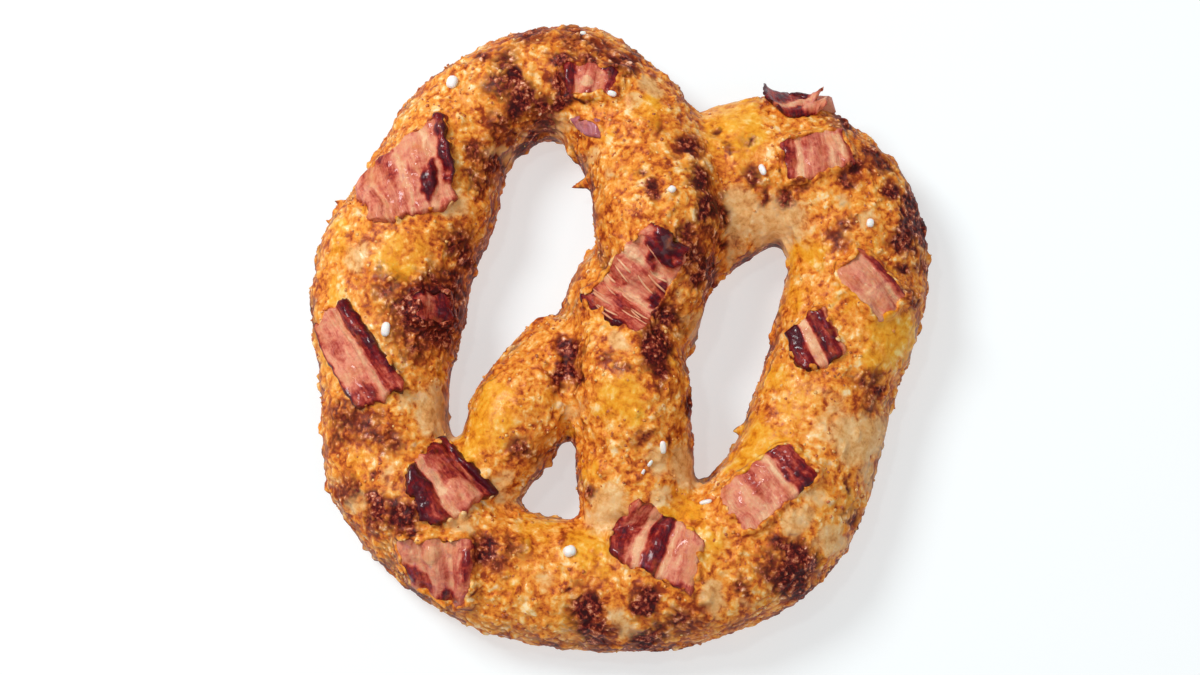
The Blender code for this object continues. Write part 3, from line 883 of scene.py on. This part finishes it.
def roughen(mesh, cover):
    """Raises pebbles and small swells, and keeps the values that the finish reads."""
    points, _, normals = mesh_arrays(mesh)
    browned = spot_share(points, BROWNED)
    pale = spot_share(points, PALE)
    melted = spot_share(points, MELTED)
    upward = np.clip(normals[:, 2] + 0.8, 0, 1) * np.clip(points[:, 2] / (3 * MM), 0, 1)
    covered = np.array([cover.find_nearest(point)[3] for point in points.tolist()])
    free = np.clip((covered - 0.2 * MM) / (1.0 * MM), 0.15, 1)
    calm = 1 - np.maximum(0.75 * melted, 0.8 * pale)
    coarse = pebbles_at(points, 3.0 * MM, 3.0)
    fine = pebbles_at(points, 1.5 * MM, 11.0)
    bumps = 0.34 * (coarse - 0.6) * calm + 0.22 * (fine - 0.5) * (0.3 + 0.6 * calm + 0.8 * browned)
    swell = bumps + 0.45 * noise_at(points, 6 * MM, 7.0)
    # Steep sides above the base are pushed towards brown: partly toasting, partly painted shade on the
    # sides that turn down.
    steep = np.clip((0.7 - normals[:, 2]) / 0.7, 0, 1) * (points[:, 2] > 4 * MM)
    side_toast_and_shade = np.clip(0.6 + 0.8 * noise_at(points, 7 * MM, 2.0), 0.1, 0.85)
    browned = np.maximum(browned, steep * side_toast_and_shade)
    above = np.clip((normals[:, 2] + 0.75) / 0.3, 0, 1)
    browned = browned * above + 0.35 * (1 - above)
    pale, melted = pale * above, melted * above
    moved = points + normals * (swell * upward * free * MM)[:, None]
    mesh.vertices.foreach_set("co", moved.astype(np.float32).ravel())
    set_values(mesh, browned=browned, pale=pale, melted=melted, pebble=coarse * 0.5 + fine * 0.5)


# ---------------------------------------------------------------- loose bits on top


def down_on(tree, x, y):
    """The surface below a place in metres."""
    hit, normal, _, _ = tree.ray_cast(Vector((x, y, 0.1)), Vector((0, 0, -1)))
    return hit, normal


def tube(course, radii, sides=6):
    """The points and triangles of a closed tube along a course."""
    course = np.asarray(course)
    ahead = np.gradient(course, axis=0)
    ahead /= np.linalg.norm(ahead, axis=1, keepdims=True)
    across = np.cross(ahead, [0.0, 0.0, 1.0])
    across /= np.maximum(np.linalg.norm(across, axis=1, keepdims=True), 1e-6)
    over = np.cross(across, ahead)
    turns = np.arange(sides) * math.tau / sides
    ring = np.cos(turns)[None, :, None] * across[:, None] + np.sin(turns)[None, :, None] * over[:, None]
    points = (course[:, None] + ring * np.asarray(radii)[:, None, None]).reshape(-1, 3)
    triangles = []
    for row in range(len(course) - 1):
        for side in range(sides):
            a = row * sides + side
            b = row * sides + (side + 1) % sides
            triangles += [(a, b, b + sides), (a, b + sides, a + sides)]
    last = (len(course) - 1) * sides
    for side in range(1, sides - 1):
        triangles += [(0, side + 1, side), (last, last + side, last + side + 1)]
    return points, np.array(triangles)


def crumbs(skin, cover, rng, name, count, sizes, likely):
    """Crumbs of toasted cheese, pressed into the crust where they are likely."""
    points, _, normals = mesh_arrays(skin.data)
    chance = likely(points) * (normals[:, 2] > 0.0) * (points[:, 2] > 2 * MM)
    heap = Heap()
    shape, faces = ball(1)
    for index in rng.choice(len(points), count, p=chance / chance.sum()):
        point = Vector(points[index])
        if cover.find_nearest(point)[3] < 0.7 * MM:
            continue
        normal = Vector(normals[index])
        size = rng.uniform(*sizes) * MM
        knobs = 1 + 0.3 * np.sin(shape @ rng.uniform(2, 6, 3))[:, None]
        spread = size * np.array([1, rng.uniform(0.6, 1), rng.uniform(0.45, 0.8)])
        place = point + normal * size * rng.uniform(-0.2, 0.2)
        axes = axes_on(normal, rng.uniform(0, math.tau))
        heap.add(placed(shape * knobs, place, axes, spread), faces, rng.random())
    return heap.piece(name)


def fat_threads(cover, rng, count=26):
    """Torn threads of fat over the slice on the crossing."""
    heap = Heap()
    for _ in range(count):
        share = rng.uniform(-1, 1, 2)
        x, y = np.array(THREADS_MIDDLE) + share * THREADS_REACH
        point, _ = down_on(cover, x * MM, y * MM)
        if point is None:
            continue
        turn = THREADS_TURN + rng.uniform(-12, 12)
        length = rng.uniform(3, 7)
        radius = rng.uniform(0.15, 0.3)
        course = []
        for step in np.linspace(-0.5, 0.5, 9):
            ahead = compass(turn + 8 * step)
            along = ahead * step * length * MM
            hit, normal = down_on(cover, x * MM + along.x, y * MM + along.y)
            if hit is not None:
                course.append(hit + normal * radius * 0.1 * MM)
        if len(course) == 9 and max((a - b).length for a, b in zip(course, course[1:])) < 2 * MM:
            taper = np.array([0.4, 0.8, 1, 1, 1, 1, 1, 0.8, 0.4])
            heap.add(*tube(course, radius * MM * taper), rng.random())
    return heap.piece("fat_threads")


def grains(skin_tree):
    """Coarse white grains, each a worn block."""
    heap = Heap()
    shape, faces = ball(2)
    blocky = np.sign(shape) * abs(shape) ** 0.75
    for x, y, length, width, turn in GRAINS:
        hit, normal = down_on(skin_tree, x * MM, y * MM)
        along = (compass(turn) - normal * normal.dot(compass(turn))).normalized()
        axes = np.array([along, normal.cross(along), normal])
        height = width * 0.75
        sizes = np.array([length, width, height]) / 2 * MM
        heap.add(placed(blocky, hit + normal * height * 0.3 * MM, axes, sizes), faces)
    return heap.piece("coarse_grains")


# ---------------------------------------------------------------- finishes


def crust_finish():
    """Baked cheese over dough: cream, yellow and orange, and red-brown to maroon where it toasted. The
    creases between the pebbles and the steep sides are darker as painted shade, and the pebbles' tops are
    creamier as painted highlight.
    """
    finish = Finish("baked_cheese")
    # The browned value also holds the painted shade on the steep sides, set in roughen.
    browned = finish.attribute("browned")
    pale = finish.attribute("pale")
    melted = finish.attribute("melted")
    # The pebble value is 1 on the pebbles' tops and 0 in the creases: below it lightens the tops as
    # painted highlight and darkens and toasts the creases as painted shade.
    pebble = finish.attribute("pebble") - 0.5
    broad = finish.mottle(9 * MM, 3, 0.5) - 0.5
    tint = finish.mottle(6 * MM, 2, 0.8, 13) - 0.5
    patches = finish.mottle(2.8 * MM, 4, 0.8, 2) - 0.5
    specks = finish.mottle(0.9 * MM, 3, 0.6, 5) - 0.5
    # Random tone plus the pebbles. The cream top stops, which are reached on pebble tops and the brightest
    # specks, are partly painted highlight.
    light = broad * 0.7 + patches * 1.6 + specks * 0.7 + pebble * 0.45
    orange = finish.ramp(
        (light + 0.52 - browned * 0.2).held(),
        [
            (0.08, colour(150, 56, 18)),
            (0.26, colour(208, 106, 34)),
            (0.44, colour(236, 146, 48)),
            (0.58, colour(244, 170, 78)),
            (0.70, colour(250, 196, 118)),
            (0.86, colour(254, 224, 172)),
        ],
    )
    yellow = finish.ramp(
        (light * 0.8 + 0.5).held(),
        [
            (0.10, colour(206, 112, 20)),
            (0.35, colour(236, 156, 30)),
            (0.60, colour(242, 178, 54)),
            (0.90, colour(253, 216, 124)),
        ],
    )
    # In the toasted cheese the pebbles' tops are a lighter tan, which is painted highlight, and the
    # creases are maroon, which is painted shade.
    toasted = finish.ramp(
        (0.44 + patches * 1.0 + specks * 1.9 + pebble * 0.7).held(),
        [
            (0.10, colour(56, 0, 2)),
            (0.30, colour(100, 16, 12)),
            (0.48, colour(144, 54, 34)),
            (0.66, colour(190, 106, 72)),
            (0.82, colour(230, 162, 126)),
            (0.96, colour(248, 204, 178)),
        ],
    )
    bare_dough = finish.ramp(
        (0.5 + patches * 1.2 + specks * 0.6).held(),
        [
            (0.10, colour(176, 100, 42)),
            (0.42, colour(226, 168, 100)),
            (0.80, colour(250, 214, 158)),
        ],
    )
    in_yellow = (melted * 0.9 + tint * 2.2 + broad * 0.6).between(0.1, 0.8)
    in_bare = (pale * 1.3 + patches * 1.0 + tint * 0.8 - browned * 0.4).between(0.3, 0.95)
    # Less toasting on the pebbles' tops and more in the creases: painted shade.
    in_toast = browned * 1.1 + patches * 1.3 + broad * 0.8 + specks * 0.6 - melted * 0.2 - pebble * 0.3
    in_toast = in_toast.between(0.12, 0.95)
    cheese = finish.mix(in_yellow * 0.85, orange, yellow)
    finish.set(
        base_color=finish.mix(in_toast, finish.mix(in_bare * 0.9, cheese, bare_dough), toasted),
        roughness=(0.48 + specks * 0.4 - melted * 0.16 + in_toast * 0.06).held(),
        ior=1.28,
        coat_weight=((patches + specks) * 3.0 - 0.1).held() * (0.6 - in_toast * 0.25),
        coat_roughness=0.14,
        coat_ior=1.45,
        subsurface_weight=0.08,
        subsurface_scale=0.0015,
    )
    finish.relief(finish.mottle(1.3 * MM, 3, 0.7, 9), 0.3 * MM, 0.5)
    return finish.material


def bacon_finish():
    """Fried bacon: tan fat, pink and dark red lean in fibres, darker at its rim, wet with fat, with lilac
    patches that are a painted purple-blue reflection.
    """
    finish = Finish("fried_bacon")
    tone = finish.attribute("tone")
    rim = finish.attribute("rim")
    cloudy = finish.mottle(3.2 * MM, 4, 0.8) - 0.5
    fibres = finish.fibres(0.6, 4.5) - 0.5
    strands = finish.fibres(2.2, 9.0, 3) - 0.5
    specks = finish.mottle(0.8 * MM, 3, 0.4, 4) - 0.5
    depth = tone + cloudy * 0.8 + fibres * 0.4 + strands * 0.9 + specks * 0.35 + rim * 0.2
    meat = finish.ramp(
        depth.held(),
        [
            (0.00, colour(242, 194, 152)),
            (0.16, colour(230, 166, 128)),
            (0.34, colour(226, 142, 112)),
            (0.50, colour(206, 108, 84)),
            (0.66, colour(176, 64, 48)),
            (0.80, colour(128, 20, 22)),
            (0.92, colour(104, 6, 20)),
            (1.00, colour(72, 0, 18)),
        ],
    )
    # Lilac patches are a painted purple-blue reflection mixed into the meat's colour, weaker on the darker
    # lean.
    lilac_sheen_colours = [(0.2, colour(128, 48, 84)), (0.8, colour(196, 138, 160))]
    painted_lilac_sheen = finish.ramp((0.5 + fibres * 1.5).held(), lilac_sheen_colours)
    in_painted_lilac_sheen = ((finish.mottle(3 * MM, 2, 0.8, 11) - 0.5) * 3.0 + finish.attribute("painted_lilac_sheen") - 0.5).held()
    in_painted_lilac_sheen = in_painted_lilac_sheen * (0.85 - tone * 0.4)
    stained = ((finish.mottle(4.5 * MM, 3, 0.8, 7) - 0.5) * 3.0 - tone * 0.6 + 0.3).held() * 0.7
    finish.set(
        base_color=finish.mix(in_painted_lilac_sheen, finish.mix(stained, meat, colour(210, 124, 66)), painted_lilac_sheen),
        roughness=(0.5 - tone * 0.12 + specks * 0.4).held(),
        ior=1.25,
        coat_weight=(cloudy * 2.4 + tone * 0.45 + specks * 1.5 - 0.08).held() * 0.85,
        coat_roughness=0.07,
        coat_tint=(0.94, 0.88, 1.0, 1.0),
        subsurface_weight=0.08,
        subsurface_scale=0.0015,
    )
    finish.relief(fibres * 0.8 + strands + specks * 1.4 + cloudy, 0.35 * MM, 0.7)
    return finish.material


def toasted_finish(name, stops):
    """Loose toasted cheese, each bit in its own tone."""
    finish = Finish(name)
    tone = finish.attribute("tone")
    specks = finish.mottle(0.8 * MM, 2) - 0.5
    finish.set(
        base_color=finish.ramp((tone + specks * 0.4).held(), stops),
        roughness=(0.4 + specks * 0.4).held(),
        coat_weight=0.25,
        coat_roughness=0.15,
    )
    return finish.material


def grain_finish():
    """White, slightly translucent grains."""
    finish = Finish("white_grain")
    clouds = finish.mottle(1.2 * MM, 2)
    finish.set(
        base_color=finish.ramp(clouds, [(0.3, colour(238, 234, 226)), (0.7, colour(253, 252, 250))]),
        roughness=0.4,
        subsurface_weight=0.2,
        subsurface_scale=0.001,
    )
    return finish.material


def floor_finish():
    """A white table that glows a little, so that the light from the bread doesn't tint it."""
    finish = Finish("white_table")
    clouds = finish.mottle(0.3, 2)
    finish.set(
        base_color=finish.ramp(clouds, [(0.3, colour(177, 187, 190)), (0.7, colour(180, 190, 193))]),
        roughness=0.8,
        emission_color=(1.0, 0.985, 0.98, 1.0),
        emission_strength=FLOOR_GLOW,
    )
    return finish.material


# ---------------------------------------------------------------- the studio


def lamp(name, place, aim, size, power):
    """A square white lamp that looks at the aim."""
    light = bpy.data.lights.new(name, "AREA")
    light.shape = "DISK"
    light.size = size
    light.energy = power
    stand = bpy.data.objects.new(name, light)
    stand.location = place
    stand.rotation_euler = (Vector(aim) - Vector(place)).to_track_quat("-Z", "Y").to_euler()
    bpy.context.scene.collection.objects.link(stand)


CAMERA_TILT = 10
CAMERA_LENS = 85
CAMERA_REACH = 728 * MM
CAMERA_AIM = Vector((-5.2, -1.3, 12.0)) * MM
FLOOR_HALF = 1.2
FLOOR_GLOW = 0.54


def studio():
    """A white table, a large soft lamp on the left, and a camera looking down on the pretzel."""
    scene = bpy.context.scene
    corners = [(-1, -1), (1, -1), (1, 1), (-1, 1)]
    points = [(x * FLOOR_HALF, y * FLOOR_HALF, -0.05 * MM) for x, y in corners]
    floor = link("floor", mesh_from("floor", points, [(0, 1, 2), (0, 2, 3)], smooth=False))
    floor.data.materials.append(floor_finish())
    lamp("key", (-0.5, 0.35, 0.75), (0, 0, 0), 0.34, 6.2)
    lamp("fill", (0.5, -0.6, 0.9), (0, 0, 0), 0.8, 1.6)
    lamp("glint", (-0.2, 0.1, 0.9), (0, 0, 0.02), 0.06, 0.6)
    world = bpy.data.worlds.new("room")
    world.use_nodes = True
    world.node_tree.nodes["Background"].inputs["Color"].default_value = (1, 1, 1, 1)
    world.node_tree.nodes["Background"].inputs["Strength"].default_value = 0.36
    scene.world = world
    scene.view_settings.view_transform = "Standard"
    camera = bpy.data.cameras.new("camera")
    camera.lens = CAMERA_LENS
    stand = bpy.data.objects.new("camera", camera)
    tilt = math.radians(CAMERA_TILT)
    stand.location = CAMERA_AIM + Vector((0, -math.sin(tilt), math.cos(tilt))) * CAMERA_REACH
    stand.rotation_euler = (tilt, 0, 0)
    scene.collection.objects.link(stand)
    scene.camera = stand


def finished(piece, material, slot, *nodes):
    """Gives a piece its finish, and ties it to the pretzel's body and to what it stands for."""
    piece.data.materials.clear()
    piece.data.materials.append(material)
    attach(piece, "root")
    if nodes:
        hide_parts(*nodes)


def main():
    """Makes every piece, gives it its finish and sets up the studio."""
    dough = Dough(smooth_dough())
    slices = {name: bacon_slice(dough, name) for name in SLICES}
    cover = search_tree(slices.values())
    skin = crust(dough, slices, cover)
    finished(skin, crust_finish(), "baked_dough", "pretzel")
    meat = bacon_finish()
    for name, piece in slices.items():
        finished(piece, meat, "crisp_bacon", name)
    golden = toasted_finish(
        "toasted_crumbs",
        [
            (0.0, colour(240, 196, 120)),
            (0.4, colour(228, 150, 70)),
            (0.75, colour(196, 100, 48)),
            (1.0, colour(180, 96, 50)),
        ],
    )
    rng = np.random.default_rng(77)

    def anywhere(points):
        """How likely a crumb is at each place: rare on smooth, bare and toasted cheese."""
        calm = np.maximum(spot_share(points, PALE), spot_share(points, MELTED))
        return np.clip(1 - calm - 1.6 * spot_share(points, BROWNED), 0.02, 1)

    loose = crumbs(skin, cover, rng, "cheese_crumbs", 1500, (0.25, 0.6), anywhere)
    finished(loose, golden, "baked_dough")
    fat = toasted_finish(
        "fat_threads",
        [(0.0, colour(236, 184, 140)), (0.5, colour(226, 158, 118)), (1.0, colour(212, 138, 102))],
    )
    finished(fat_threads(search_tree([slices["bacon_twist"]]), rng), fat, "crisp_bacon")
    finished(grains(search_tree([skin])), grain_finish(), "baked_dough")
    studio()


main()
